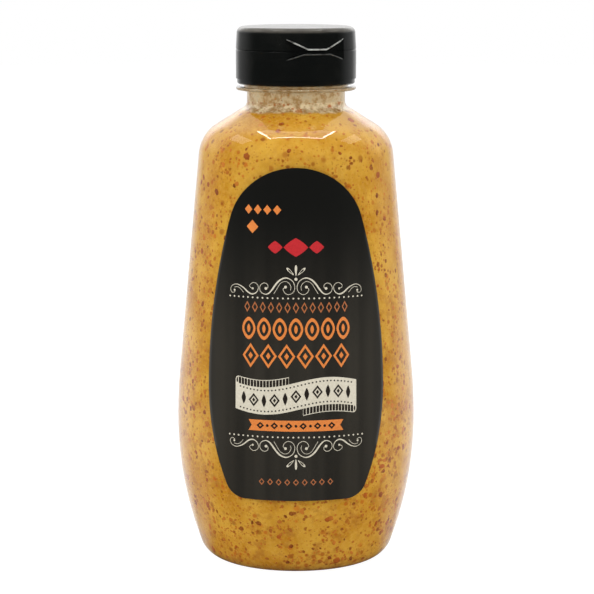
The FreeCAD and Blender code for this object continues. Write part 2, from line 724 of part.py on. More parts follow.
def hinge_block(name, side, stop_formula):
    """A tab that reaches from the cap's side to the hinge line, above or below it."""
    tab = doc.addObject("Part::Box", name)
    tab.setExpression("Length", "dims.hinge_width")
    tab.setExpression("Width", f"dims.lid_wall / 2 + {stop_formula}")
    tab.setExpression("Height", "dims.hinge_tab")
    tab.setExpression("Placement.Base.x", "-dims.hinge_width / 2")
    tab.setExpression("Placement.Base.y", "dims.cap_radius - dims.lid_wall / 2")
    drop = "" if side > 0 else " - dims.hinge_tab"
    tab.setExpression("Placement.Base.z", PARTING + drop)
    return tab


def hinge_rod(name, radius_formula):
    """A rod along the hinge line."""
    rod = doc.addObject("Part::Cylinder", name)
    rod.setExpression("Radius", radius_formula)
    rod.setExpression("Height", "dims.hinge_width")
    rod.Placement = FreeCAD.Placement(V(), FreeCAD.Rotation(V(0, 1, 0), 90))
    rod.setExpression("Placement.Base.x", "-dims.hinge_width / 2")
    rod.setExpression("Placement.Base.y", "dims.cap_radius + dims.hinge_reach")
    rod.setExpression("Placement.Base.z", PARTING)
    return rod


def boolean(kind, name, base, tool):
    result = doc.addObject(f"Part::{kind}", name)
    result.Base, result.Tool = base, tool
    doc.recompute()
    return result


def finish_cap_piece(shape_object, label):
    """The sub-part that is written out, turned with the cap."""
    shape_object.Label = label
    shape_object.Placement = FreeCAD.Placement(
        V(), FreeCAD.Rotation(V(0, 0, 1), dim("cap_turn"))
    )
    doc.recompute()
    return shape_object


def make_base(cutter):
    """The cap's base: skirt, deck, spout, recess and the bead on the hinge line."""
    body = new_body("base_core")
    section = sketch_on(body, "XZ_Plane", "base_section")
    base_profile(section)
    turn(body, "Revolution", section, "base_form")
    cut = boolean("Cut", "base_recessed", body, cutter)
    rounded = round_recess(cut, "base_rounded", False)
    tab = hinge_block("base_tab", -1, "dims.hinge_reach")
    bead = hinge_rod("base_bead", "dims.hinge_bead")
    hinge = boolean("Fuse", "base_hinge", tab, bead)
    return finish_cap_piece(boolean("Fuse", "base_whole", rounded, hinge), "cap_base")


def make_lid(cutter):
    """The lid: cup, plug, the wall behind the recess and the hinge tab."""
    body = new_body("lid_core")
    section = sketch_on(body, "XZ_Plane", "lid_section")
    lid_profile(section)
    turn(body, "Revolution", section, "lid_form")
    liner = ring_between(
        "liner_tube",
        "dims.cap_radius - dims.recess_deep - dims.recess_liner",
        "dims.cap_radius - dims.lid_wall / 2",
        PARTING,
        "dims.lid_tall - dims.lid_wall / 2",
    )
    slab = doc.addObject("Part::Box", "liner_slab")
    slab.setExpression("Length", "2 * (dims.recess_half + dims.recess_liner)")
    slab.setExpression("Width", "dims.cap_radius")
    slab.setExpression("Height", "dims.lid_tall")
    slab.setExpression("Placement.Base.x", "-dims.recess_half - dims.recess_liner")
    slab.setExpression("Placement.Base.y", "-dims.cap_radius")
    slab.setExpression("Placement.Base.z", PARTING)
    liner_front = boolean("Common", "liner_front", liner, slab)
    lined = boolean("Fuse", "lid_lined", body, liner_front)
    cut = boolean("Cut", "lid_recessed", lined, cutter)
    rounded = round_recess(cut, "lid_rounded", True)
    tab = hinge_block("lid_tab", 1, "dims.hinge_reach")
    room = hinge_rod("lid_bead_room", "dims.hinge_bead + dims.hinge_clearance")
    hinge = boolean("Cut", "lid_hinge", tab, room)
    return finish_cap_piece(boolean("Fuse", "lid_whole", rounded, hinge), "cap_lid")


# ---------------------------------------------------------------- build


def check_and_write(nodes):
    """Stops on any failed object or bad solid, then writes one file per node."""
    doc.recompute()
    failed = [o.Name for o in doc.Objects if {"Invalid", "Error"} & set(o.State)]
    if failed:
        raise RuntimeError(f"these objects failed: {failed}")
    for node in nodes:
        shape = node.Shape
        if shape.isNull() or not shape.isValid() or len(shape.Solids) != 1:
            raise RuntimeError(f"{node.Label} is not one valid solid")
    os.makedirs("parts", exist_ok=True)
    for node in nodes:
        node.Shape.exportStep(f"parts/{node.Label}.step")
        box = node.Shape.BoundBox
        print(
            f"{node.Label}: {node.Shape.Volume:.1f} mm3,"
            f" {box.XLength:.2f} x {box.YLength:.2f} x {box.ZLength:.2f} mm"
        )


cutter = recess_cutter()
check_and_write(
    [
        *make_bottle(),
        make_mustard(),
        make_label("front_label", 0),
        make_label("back_label", 180),
        make_base(cutter),
        make_lid(cutter),
    ]
)
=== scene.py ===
"""Looks of the mustard squeeze bottle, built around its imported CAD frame."""
from math import acos, asin, atan2, ceil, cos, pi, radians, sin, sqrt

import bmesh
import bpy
import numpy as np
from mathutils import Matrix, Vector, noise


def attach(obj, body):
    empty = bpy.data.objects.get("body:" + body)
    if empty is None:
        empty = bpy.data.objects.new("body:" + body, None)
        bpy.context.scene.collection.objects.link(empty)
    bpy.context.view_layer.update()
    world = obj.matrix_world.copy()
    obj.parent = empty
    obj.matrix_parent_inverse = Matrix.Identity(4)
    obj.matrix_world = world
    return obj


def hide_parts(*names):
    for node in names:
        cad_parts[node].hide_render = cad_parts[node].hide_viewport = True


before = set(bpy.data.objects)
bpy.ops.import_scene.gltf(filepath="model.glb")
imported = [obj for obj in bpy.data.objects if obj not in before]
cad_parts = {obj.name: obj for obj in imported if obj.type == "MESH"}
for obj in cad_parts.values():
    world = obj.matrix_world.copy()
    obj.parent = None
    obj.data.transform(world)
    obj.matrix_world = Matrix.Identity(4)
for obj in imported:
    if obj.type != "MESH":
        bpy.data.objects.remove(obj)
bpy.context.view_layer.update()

MM = 0.001

# ---- sizes, in mm
# The bottle's own sizes, the same as the CAD part's.
BELLY_RADIUS, BELLY_HEIGHT, BELLY_ROUND = 33.2, 39.6, 149.0
FOOT_RADIUS, FOOT_BORE, HEEL_ROUND, PUNT_RISE = 20.4, 16.8, 6.9, 1.8
SIDE_LEAN, SHOULDER_SLOPE = radians(5.3), radians(58.0)
SHOULDER_ROUND, NECK_FILLET, NECK_RADIUS, NECK_HEIGHT = 10.6, 1.9, 13.6, 128.1
WALL = 1.1
RING_RADIUS, RING_HEIGHT, RING_THICK = 16.6, 131.2, 1.0
FINISH_RADIUS, FINISH_LENGTH = 14.4, 7.0
RIM_HEIGHT = RING_HEIGHT + RING_THICK + FINISH_LENGTH
FILL_HEIGHT = 126.0
LID_TOP = 148.6
LABEL_THICK, LABEL_TOP, LABEL_FOOT = 0.15, 112.1, 22.3
LABEL_REACH, LABEL_WIDE_AT = 23.7, 52.5
LABEL_ARCH, LABEL_SIDE, LABEL_CORNER = 18.3, 75.0, 5.5

SMEAR_OUT = 0.1  # how far the smear in the neck reaches into the wall
INTO_WALL = 0.15  # how far the mustard reaches into the bottle's wall
# Soft specks in the mustard: cells to a millimetre, radius in cells, strength.
SPECKS = ((0.3, 0.34, 0.6), (0.45, 0.4, 0.8), (0.85, 0.46, 0.8), (1.8, 0.5, 0.5))
INK = 0.02  # height of one layer of print
ROUND_STEPS = 192  # segments round the bottle
WHITE = (1, 1, 1, 1)


# ---- outlines


def arc(centre, radius, start, end, steps):
    """Points on an arc, from the angle start to the angle end."""
    angles = np.linspace(start, end, steps + 1)
    return [(centre[0] + radius * cos(a), centre[1] + radius * sin(a)) for a in angles]


def oval(across, height, half_wide, half_tall, steps=14):
    """The outline of an oval, or of a circle."""
    return [
        (across + half_wide * x, height + half_tall * z)
        for x, z in arc((0, 0), 1, 0, 2 * pi, steps)[:-1]
    ]


def bottle_side(offset=0.0):
    """(radius, height) up the bottle's side, heel to neck, moved outwards by offset."""
    belly, heel = BELLY_RADIUS + offset, HEEL_ROUND + offset
    across, up = belly - FOOT_RADIUS, BELLY_HEIGHT - HEEL_ROUND
    lower = (across**2 + up**2 - heel**2) / (2 * (across - heel))
    heel_turn = atan2(-up, FOOT_RADIUS - belly + lower)
    upper = BELLY_ROUND + offset
    shoulder, fillet = SHOULDER_ROUND + offset, NECK_FILLET - offset
    fillet_x = NECK_RADIUS + offset + fillet

    def inner_distance(x, z, angle):
        return x * cos(angle) + z * sin(angle)

    side_d = inner_distance(belly - upper, BELLY_HEIGHT, SIDE_LEAN) + upper - shoulder
    slope_d = inner_distance(fillet_x, NECK_HEIGHT, SHOULDER_SLOPE) - fillet - shoulder
    spread = sin(SHOULDER_SLOPE - SIDE_LEAN)
    centre = (
        (side_d * sin(SHOULDER_SLOPE) - slope_d * sin(SIDE_LEAN)) / spread,
        (slope_d * cos(SIDE_LEAN) - side_d * cos(SHOULDER_SLOPE)) / spread,
    )
    points = arc((FOOT_RADIUS, HEEL_ROUND), heel, -pi / 2, heel_turn, 20)
    points += arc((belly - lower, BELLY_HEIGHT), lower, heel_turn, 0, 20)[1:]
    points += arc((belly - upper, BELLY_HEIGHT), upper, 0, SIDE_LEAN, 12)[1:]
    points += arc(centre, shoulder, SIDE_LEAN, SHOULDER_SLOPE, 20)
    return points + arc((fillet_x, NECK_HEIGHT), fillet, pi + SHOULDER_SLOPE, pi, 10)


SIDE = np.array(bottle_side())


def radius_at(height, offset=0.0):
    """The bottle's outer radius at a height, moved out by offset."""
    return float(np.interp(height, SIDE[:, 1], SIDE[:, 0])) + offset


def dome(lift, steps=10):
    """(radius, height) up the dome under the base, from its edge to the axis."""
    radius = (FOOT_BORE**2 + PUNT_RISE**2) / (2 * PUNT_RISE)
    edge = acos(FOOT_BORE / radius)
    centre = (0, lift + PUNT_RISE - radius)
    return arc(centre, radius, edge, pi / 2, steps)[:-1] + [(0, lift + PUNT_RISE)]


def label_edge():
    """(half width, height) down the label's outline, seen from the front."""
    arch_z = LABEL_TOP - LABEL_ARCH
    up = arch_z - LABEL_WIDE_AT
    side = (LABEL_REACH**2 + up**2 - LABEL_ARCH**2) / (2 * (LABEL_REACH - LABEL_ARCH))
    side_x, low_x = LABEL_REACH - side, LABEL_REACH - LABEL_SIDE
    arch_turn = atan2(up, -side_x)
    drop = LABEL_WIDE_AT - LABEL_FOOT - LABEL_CORNER
    corner_x = low_x + sqrt((LABEL_SIDE - LABEL_CORNER) ** 2 - drop**2)
    corner_turn = atan2(-drop, corner_x - low_x)
    points = arc((0, arch_z), LABEL_ARCH, pi / 2, arch_turn, 40)
    points += arc((side_x, LABEL_WIDE_AT), side, arch_turn, 0, 24)[1:]
    points += arc((low_x, LABEL_WIDE_AT), LABEL_SIDE, 0, corner_turn, 16)[1:]
    corner = (corner_x, LABEL_FOOT + LABEL_CORNER)
    return points + arc(corner, LABEL_CORNER, corner_turn, -pi / 2, 12)[1:]


LABEL_EDGE = np.array(label_edge())


def label_half_width(height):
    """The label's half width at a height, or 0 above and below it."""
    heights, widths = LABEL_EDGE[::-1, 1], LABEL_EDGE[::-1, 0]
    return float(np.interp(height, heights, widths, left=0, right=0))


# ---- meshes


def add_object(name, data):
    made = bpy.data.objects.new(name, data)
    bpy.context.scene.collection.objects.link(made)
    return made


def new_piece(name, points, faces, material, body="container", sharp=35):
    """A smooth-shaded mesh from points in millimetres, riding on a body."""
    mesh = bpy.data.meshes.new(name)
    mesh.from_pydata([Vector(p) * MM for p in points], [], faces)
    mesh.validate()
    mesh.polygons.foreach_set("use_smooth", [True] * len(mesh.polygons))
    mesh.set_sharp_from_angle(angle=radians(sharp))
    mesh.materials.append(material)
    piece = add_object(name, mesh)
    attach(piece, body)
    return piece


def turned(profile, steps, lift=None):
    """The points of a profile at each of the steps round the axis."""
    points = []
    for radius, height in profile:
        for k in range(steps):
            angle = 2 * pi * k / steps
            z = lift(radius, height, angle) if lift else height
            points.append((radius * cos(angle), radius * sin(angle), z))
    return points


def band(low, high, steps):
    """The faces between two rings, whose points start at low and at high."""
    faces = []
    for k in range(steps):
        after = (k + 1) % steps
        faces.append((low + k, low + after, high + after, high + k))
    return faces


def lathe(name, profile, material, lift=None):
    """A closed body of revolution. The profile starts and ends on the axis.

    lift(radius, height, angle) gives the height of a point where it isn't even.
    """
    rings, top = profile[1:-1], profile[-1][1]
    points = [(0, 0, profile[0][1])] + turned(rings, ROUND_STEPS, lift)
    last, end = len(points), len(points) - ROUND_STEPS
    points.append((0, 0, lift(0, top, 0) if lift else top))
    faces = []
    for row in range(len(rings) - 1):
        low = 1 + row * ROUND_STEPS
        faces += band(low, low + ROUND_STEPS, ROUND_STEPS)
    for k in range(ROUND_STEPS):
        after = (k + 1) % ROUND_STEPS
        faces += [(0, 1 + after, 1 + k), (last, end + k, end + after)]
    return new_piece(name, points, faces, material)


def tube_wall(name, outside, thick, material, steps=128):
    """A thin closed tube inside a profile."""
    loop = outside + [(radius - thick, z) for radius, z in reversed(outside)]
    faces = []
    for row in range(len(loop)):
        faces += band(row * steps, (row + 1) % len(loop) * steps, steps)
    return new_piece(name, turned(loop, steps), faces, material)


def slab(start, rows, columns):
    """The faces of a closed sheet: a grid of points, and after it the grid behind it."""
    width = columns + 1
    behind = width * (rows + 1)
    faces = []
    for row in range(rows):
        for column in range(columns):
            a = start + row * width + column
            b = a + width
            faces.append((a, b, b + 1, a + 1))
            a, b = a + behind, b + behind
            faces.append((a, a + 1, b + 1, b))
    border = list(range(width))
    border += [row * width + columns for row in range(1, rows + 1)]
    border += [rows * width + column for column in range(columns - 1, -1, -1)]
    border += [row * width for row in range(rows - 1, 0, -1)]
    for here, there in zip(border, border[1:] + border[:1]):
        here, there = start + here, start + there
        faces.append((here, there, behind + there, behind + here))
    return faces


# ---- materials


def srgb(red, green, blue):
    """A colour as it looks, 0 to 255 each, as the linear colour that nodes take."""
    linear = []
    for value in (red, green, blue):
        share = value / 255
        linear.append(share / 12.92 if share <= 0.04045 else ((share + 0.055) / 1.055) ** 2.4)
    return (*linear, 1.0)


def node(tree, kind, inputs=None, **settings):
    """A shader node of a kind such as "TexNoise", with its settings, values and links."""
    made = tree.nodes.new("ShaderNode" + kind)
    for key, value in settings.items():
        setattr(made, key, value)
    for key, value in (inputs or {}).items():
        if isinstance(value, bpy.types.NodeSocket):
            tree.links.new(value, made.inputs[key])
        else:
            made.inputs[key].default_value = value
    return made


def new_material(name):
    material = bpy.data.materials.new(name)
    material.use_nodes = True
    material.node_tree.nodes.clear()
    return material, material.node_tree


def millimetres(tree):
    """The piece's own coordinates, in millimetres."""
    where = node(tree, "TexCoord").outputs["Object"]
    inputs = {0: where, "Scale": 1 / MM}
    return node(tree, "VectorMath", inputs, operation="SCALE").outputs["Vector"]


def noise_at(tree, where, scale, detail=2.0, rough=0.5):
    inputs = {"Vector": where, "Scale": scale, "Detail": detail, "Roughness": rough}
    return node(tree, "TexNoise", inputs).outputs["Fac"]


def ramp(tree, value, low, high, out_low=0.0, out_high=1.0):
    """value smoothly from low..high to out_low..out_high, held at both ends."""
    inputs = {"Value": value, 1: low, 2: high, 3: out_low, 4: out_high}
    made = node(tree, "MapRange", inputs, interpolation_type="SMOOTHSTEP")
    return made.outputs["Result"]


def maths(tree, operation, first, second=0.0, third=0.0):
    inputs = {0: first, 1: second, 2: third}
    return node(tree, "Math", inputs, operation=operation).outputs[0]


def mix_colour(tree, factor, first, second):
    inputs = {0: factor, 6: first, 7: second}
    return node(tree, "Mix", inputs, data_type="RGBA").outputs[2]


def shade(tree, value, low, high, first, second, most=1.0):
    """From the first colour towards the second as value goes from low to high."""
    return mix_colour(tree, ramp(tree, value, low, high, 0.0, most), first, second)


def bump(tree, height, strength, distance):
    inputs = {"Height": height, "Strength": strength, "Distance": distance}
    return node(tree, "Bump", inputs).outputs["Normal"]


def principled(tree, **inputs):
    named = {key.replace("_", " "): value for key, value in inputs.items()}
    return node(tree, "BsdfPrincipled", named).outputs[0]


def finish_material(tree, shader=None, **inputs):
    """The whole surface: a given shader, or a principled one with these inputs."""
    if shader is None:
        shader = principled(tree, **inputs)
    node(tree, "OutputMaterial", {"Surface": shader})


def clear_plastic():
    """Clear, slightly uneven blow-moulded plastic that lets light through."""
    material, tree = new_material("clear_plastic")
    waves = noise_at(tree, millimetres(tree), 0.05, 1.0)
    path = node(tree, "LightPath").outputs
    glass = principled(
        tree,
        Base_Color=srgb(250, 249, 245),
        Roughness=0.035,
        IOR=1.5,
        Transmission_Weight=1.0,
        Normal=bump(tree, waves, 0.25, 0.0004),
    )
    tint = {"Color": srgb(252, 251, 248)}
    open_way = node(tree, "BsdfTransparent", tint).outputs[0]
    lights = maths(tree, "MAXIMUM", path["Is Shadow Ray"], path["Is Diffuse Ray"])
    mixed = node(tree, "MixShader", {0: lights, 1: glass, 2: open_way})
    finish_material(tree, mixed.outputs[0])
    return material


def speck_mask(tree, where, scale, share, radius):
    """Soft round specks in a share of the cells of a grid without order."""
    inputs = {"Vector": where, "Scale": scale, "Randomness": 1.0}
    cells = node(tree, "TexVoronoi", inputs)
    chance = node(tree, "SeparateColor", {0: cells.outputs["Color"]})
    inside = ramp(tree, cells.outputs["Distance"], radius, radius * 0.45)
    chosen = maths(tree, "LESS_THAN", chance.outputs[0], share)
    return maths(tree, "MULTIPLY", inside, chosen), chance.outputs[1]


def paste_colour(tree, where):
    """Pale paste left on the neck's wall, thick and thin in patches, with streaks."""
    blots = noise_at(tree, where, 0.45, 5.0, 0.7)
    fine = noise_at(tree, where, 1.2, 2.0)
    colour = shade(tree, blots, 0.36, 0.64, srgb(238, 219, 180), srgb(172, 136, 86))
    return shade(tree, fine, 0.6, 0.72, colour, srgb(186, 124, 62))


def mustard_colour(tree, where):
    """Cloudy gold, with soft specks in four sizes, denser towards the foot."""
    clouds = noise_at(tree, where, 0.1, 3.0)
    grain = noise_at(tree, where, 1.1, 3.0, 0.6)
    colour = shade(tree, clouds, 0.32, 0.66, srgb(196, 136, 24), srgb(218, 167, 58))
    colour = shade(tree, grain, 0.35, 0.75, colour, srgb(226, 180, 84), 0.4)
    height = node(tree, "SeparateXYZ", {0: where}).outputs["Z"]
    smudges = ramp(tree, noise_at(tree, where, 0.3, 4.0, 0.6), 0.5, 0.66, 0.0, 0.6)
    smudges = maths(tree, "MULTIPLY", smudges, ramp(tree, height, 110.0, 50.0, 0.35, 1.0))
    colour = mix_colour(tree, smudges, colour, srgb(178, 114, 38))
    crowd = ramp(tree, height, 112.0, 40.0, 0.28, 0.36)
    patches = ramp(tree, noise_at(tree, where, 0.14, 2.0), 0.35, 0.62, 0.2, 1.35)
    crowd = maths(tree, "MULTIPLY", crowd, patches)
    rim = noise_at(tree, where, 0.25, 2.0)
    level = maths(tree, "MULTIPLY_ADD", rim, 1.6, height)
    colour = shade(tree, level, 125.6, 126.3, colour, paste_colour(tree, where))
    for scale, radius, strength in SPECKS:
        specks, tone = speck_mask(tree, where, scale, crowd, radius)
        brown = mix_colour(tree, tone, srgb(144, 76, 20), srgb(206, 112, 30))
        share = maths(tree, "MULTIPLY", specks, strength)
        colour = mix_colour(tree, share, colour, brown)
    return colour


def mustard_material():
    """Mustard seen through the wall: dull, and a little light goes into it."""
    material, tree = new_material("mustard")
    where = millimetres(tree)
    finish_material(
        tree,
        Base_Color=mustard_colour(tree, where),
        Roughness=0.6,
        Specular_IOR_Level=0.1,
        Subsurface_Weight=0.15,
        Subsurface_Radius=(1.0, 0.6, 0.25),
        Subsurface_Scale=0.001,
    )
    return material


def seed_material(name, dark, light):
    """A seed hull: its own tone, and a film of mustard towards its edge."""
    material, tree = new_material(name)
    where = millimetres(tree)
    tone = node(tree, "Attribute", attribute_name="tone").outputs["Fac"]
    cover = node(tree, "Attribute", attribute_name="cover").outputs["Fac"]
    hull = mix_colour(tree, tone, dark, light)
    mottle = noise_at(tree, where, 2.2, 2.0)
    hull = shade(tree, mottle, 0.35, 0.7, hull, light, 0.5)
    film = ramp(tree, cover, 0.05, 0.6, 0.8, 0.0)
    colour = mix_colour(tree, film, hull, srgb(208, 142, 46))
    finish_material(tree, Base_Color=colour, Roughness=0.6, Specular_IOR_Level=0.1)
    return material


def smear_material():
    """Pale paste smeared on the inside of the neck, with thin and thick places."""
    material, tree = new_material("mustard_smear")
    where = millimetres(tree)
    blots = noise_at(tree, where, 0.45, 4.0, 0.7)
    paste = principled(
        tree,
        Base_Color=paste_colour(tree, where),
        Roughness=0.6,
        Specular_IOR_Level=0.1,
    )
    gap = node(tree, "BsdfTransparent").outputs[0]
    solid = ramp(tree, blots, 0.3, 0.55, 0.6, 1.0)
    mixed = node(tree, "MixShader", {0: solid, 1: gap, 2: paste})
    finish_material(tree, mixed.outputs[0])
    return material


def label_material():
    """Charcoal film with painted reflections in its colour: faint vertical bands, and paler
    and browner low down.
    """
    material, tree = new_material("label")
    where = millimetres(tree)
    axes = node(tree, "SeparateXYZ", {0: where})
    across = node(tree, "CombineXYZ", {"X": axes.outputs["X"]}).outputs[0]
    painted_reflection_bands = noise_at(tree, across, 0.16, 2.0)
    # Painted reflection: the colour grows paler and browner towards the foot, and faint darker
    # vertical bands run across it.
    colour = shade(tree, axes.outputs["Z"], 104.0, 58.0, srgb(17, 17, 14), srgb(54, 50, 42))
    colour = shade(tree, painted_reflection_bands, 0.35, 0.65, colour, srgb(16, 16, 13), 0.45)
    paper = noise_at(tree, where, 3.0, 2.0)
    finish_material(
        tree,
        Base_Color=colour,
        Roughness=ramp(tree, paper, 0.2, 0.8, 0.3, 0.4),
        Normal=bump(tree, paper, 0.1, 0.00003),
    )
    return material


def ink_material(name, colour, patchy):
    """Printed ink, slightly uneven in cover."""
    material, tree = new_material(name)
    cover = noise_at(tree, millimetres(tree), 1.8, 3.0, 0.6)
    shown = shade(tree, cover, 0.3, 0.75, colour, patchy, 0.6)
    finish_material(tree, Base_Color=shown, Roughness=0.45)
    return material


def cap_material():
    """Black moulded plastic with a fine grain, and a painted sheen: the upward-facing rim of
    the lid top is painted pale grey as a reflection of the light above.
    """
    material, tree = new_material("cap_plastic")
    where = millimetres(tree)
    grain = noise_at(tree, where, 2.5, 3.0)
    smudges = noise_at(tree, where, 0.12, 3.0, 0.6)
    colour = shade(tree, smudges, 0.4, 0.8, srgb(13, 15, 14), srgb(21, 22, 20))
    # Painted sheen: the upward-facing rim on top of the lid turns pale grey, in patches,
    # standing in for a reflection.
    facing = node(tree, "TexCoord").outputs["Normal"]
    upward = node(tree, "SeparateXYZ", {0: facing}).outputs["Z"]
    height = node(tree, "SeparateXYZ", {0: where}).outputs["Z"]
    lid_only = ramp(tree, height, LID_TOP - 3.0, LID_TOP - 2.0)
    top = maths(tree, "MULTIPLY", ramp(tree, upward, 0.15, 0.6), lid_only)
    patchy = ramp(tree, noise_at(tree, where, 0.35, 4.0, 0.6), 0.3, 0.65, 0.65, 1.0)
    painted_highlight = maths(tree, "MULTIPLY", top, patchy)
    colour = mix_colour(tree, painted_highlight, colour, srgb(88, 84, 77))
    finish_material(
        tree,
        Base_Color=colour,
        Roughness=ramp(tree, smudges, 0.3, 0.75, 0.14, 0.24),
        Specular_IOR_Level=0.25,
        Normal=bump(tree, grain, 0.12, 0.00004),
    )
    return material


def edge_material(name, colour):
    """Cap plastic painted with a pale highlight line along an edge, stronger in some places
    than others.
    """
    material, tree = new_material(name)
    painted_highlight = noise_at(tree, millimetres(tree), 0.5, 3.0, 0.6)
    shown = shade(tree, painted_highlight, 0.32, 0.58, srgb(34, 35, 33), colour)
    finish_material(tree, Base_Color=shown, Roughness=0.25)
    return material


# ---- bottle


def make_shell():
    """The clear bottle, with the same outline as the CAD solid."""
    half = RING_THICK / 2
    outside = bottle_side()
    inside = bottle_side(-WALL)
    centre = (RING_RADIUS - half, RING_HEIGHT + half)
    ring = arc(centre, half, -pi / 2, pi / 2, 10)
    profile = dome(0.0)[::-1] + [(FOOT_RADIUS - 0.01, 0.0)] + outside
    profile += [(NECK_RADIUS, RING_HEIGHT)] + ring
    profile += [(FINISH_RADIUS, RING_HEIGHT + RING_THICK), (FINISH_RADIUS, RIM_HEIGHT)]
    profile += [(NECK_RADIUS - WALL, RIM_HEIGHT)] + inside[::-1] + dome(WALL)
    shell = lathe("clear_bottle", profile, clear_plastic())
    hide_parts("bottle", "bottle_neck")


def make_mustard():
    """The filling, reaching just into the wall, with an uneven top."""
    offset, meniscus, uneven, steps = INTO_WALL - WALL, 2.1, 0.7, 12
    profile = dome(-offset)[::-1] + bottle_side(offset)
    edge = profile[-1][0] - 0.5
    profile += [(edge + 0.3, NECK_HEIGHT + 0.5), (edge, NECK_HEIGHT)]
    for k in range(steps - 1, -1, -1):
        profile.append((edge * k / steps, FILL_HEIGHT + meniscus * (k / steps) ** 6))

    def lift(radius, height, angle):
        if radius > edge - 0.1:
            return height
        at = Vector((radius * cos(angle), radius * sin(angle), 0)) * 0.16
        return height + uneven * noise.noise(at) * (1 - radius / edge)

    core = lathe("mustard_filling", profile, mustard_material(), lift=lift)
    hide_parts("mustard")


def make_smear():
    """A thin mottled film of mustard on the inside of the neck."""
    heights = np.linspace(NECK_HEIGHT - 0.6, RIM_HEIGHT - 0.3, 20)
    rows = [(radius_at(height, SMEAR_OUT - WALL), height) for height in heights]
    film = tube_wall("neck_smear", rows, thick=0.2, material=smear_material())


def ball(subdivisions):
    """Points and faces of an icosphere of radius 1."""
    sphere = bmesh.new()
    bmesh.ops.create_icosphere(sphere, subdivisions=subdivisions, radius=1.0)
    points = np.array([v.co[:] for v in sphere.verts])
    faces = np.array([[v.index for v in f.verts] for f in sphere.faces])
    sphere.free()
    return points, faces


def in_view(angle, height):
    """False where a label covers the wall, except by its edge."""
    half = label_half_width(height)
    chord = abs(radius_at(height) * cos(angle))
    return chord > half - 1.0  # a flake may reach 1 mm under the label's edge


def scatter(name, material, count, sizes, flat, out, detail, seed, thin_out):
    """One joined mesh of hull flakes that lie against the inside of the wall.

    Each flake is a dented ball, flattened against the wall. flat is its
    thickness as a share of its width, and out is how much of that shows.
    thin_out is the share of flakes that is lost from the foot to the shoulder.
    """
    rng = np.random.default_rng(seed)
    base, base_faces = ball(detail)
    offset = INTO_WALL - WALL
    low, high = 3.0, FILL_HEIGHT - 1.0
    thin_from, thin_to, dent, thickest = 25.0, 110.0, 0.22, 0.9
    all_points, all_faces, tones, covers = [], [], [], []
    placed = 0
    while placed < count:
        height = rng.uniform(low, high)
        angle = rng.uniform(0, 2 * pi)
        thinned = max(0.0, min(1.0, (height - thin_from) / (thin_to - thin_from)))
        crowd = 1.0 - thin_out * thinned
        clump = 0.45 + 1.5 * noise.noise(Vector((angle * 4.0, height * 0.12, 3.0)))
        wide = radius_at(height) / BELLY_RADIUS
        size = sizes[0] + (sizes[1] - sizes[0]) * rng.random() ** 1.6
        keep = rng.random() < crowd * wide * min(1.0, max(0.15, clump))
        if not keep or not in_view(angle, height):
            continue
        step = 0.5
        lean = radius_at(height + step) - radius_at(height - step)
        slope = atan2(lean, 2 * step)
        out_dir = np.array([cos(angle), sin(angle), 0.0])
        normal = cos(slope) * out_dir + np.array([0, 0, -sin(slope)])
        across = np.array([-sin(angle), cos(angle), 0.0])
        along = np.cross(normal, across)
        turn = rng.uniform(0, pi)
        first = cos(turn) * across + sin(turn) * along
        second = -sin(turn) * across + cos(turn) * along
        dents = 1 + rng.uniform(-dent, dent, len(base))
        half = size / 2
        aspect = rng.uniform(0.6, 1.0)
        thick = min(flat * size, thickest)
        shape = base * dents[:, None]
        foot = out_dir * radius_at(height, offset) + np.array([0, 0, height])
        centre = foot - normal * thick / 2 * (1 - 2 * out)
        points = (
            centre
            + shape[:, :1] * half * first
            + shape[:, 1:2] * half * aspect * second
            + base[:, 2:3] * thick / 2 * normal
        )
        all_faces.append(base_faces + len(base) * placed)
        all_points.append(points)
        tones.append(np.full(len(base), rng.random()))
        covers.append(np.clip(base[:, 2], 0, 1))
        placed += 1
    points = np.concatenate(all_points)
    faces = np.concatenate(all_faces)
    piece = new_piece(name, points.tolist(), faces.tolist(), material)
    for label, values in (("tone", tones), ("cover", covers)):
        layer = piece.data.attributes.new(label, "FLOAT", "POINT")
        layer.data.foreach_set("value", np.concatenate(values).astype(np.float32))


def make_seeds():
    """Whole seeds, hull flakes and bran, one piece for each kind."""
    dark, brown = srgb(122, 64, 20), srgb(186, 98, 32)
    rust, tan = srgb(172, 94, 30), srgb(206, 126, 46)
    scatter(
        "whole_seeds", seed_material("seed_coat", dark, brown), count=170,
        sizes=(1.2, 2.3), flat=0.6, out=0.3, detail=2, seed=11, thin_out=0.15,
    )
    scatter(
        "hull_flakes", seed_material("seed_hull", dark, tan), count=850,
        sizes=(0.8, 1.9), flat=0.3, out=0.45, detail=1, seed=23, thin_out=0.6,
    )
    scatter(
        "bran", seed_material("seed_bran", rust, tan), count=1700,
        sizes=(0.4, 0.95), flat=0.4, out=0.5, detail=1, seed=37, thin_out=0.8,
    )


# ---- cap
# The thumb recess, as in the CAD part: heights count from the parting plane.
CAP_RADIUS, CAP_TURN, PARTING = 16.6, radians(21.0), RIM_HEIGHT + 3.2
RECESS_DEEP, RECESS_HALF = 1.6, 8.4
LID_LIP_HALF, LID_LIP_LOW, LID_LIP_HIGH = 2.6, 0.45, 3.2
BASE_LIP_HALF, BASE_LIP_LOW, BASE_LIP_HIGH = 3.8, 0.8, 2.35


def on_cap(across, height, depth=0.0):
    """A point on the cap's side at the front, depth inside it, turned with the cap."""
    radius = CAP_RADIUS - depth
    back = -sqrt(radius**2 - across**2)
    turn, lean = cos(CAP_TURN), sin(CAP_TURN)
    return (across * turn - back * lean, across * lean + back * turn, height)


def lip_height(across, half, low, high):
    """The recess edge's distance from the parting plane."""
    past = max(0.0, abs(across) - half) / (RECESS_HALF - half)
    return low + (high - low) * past


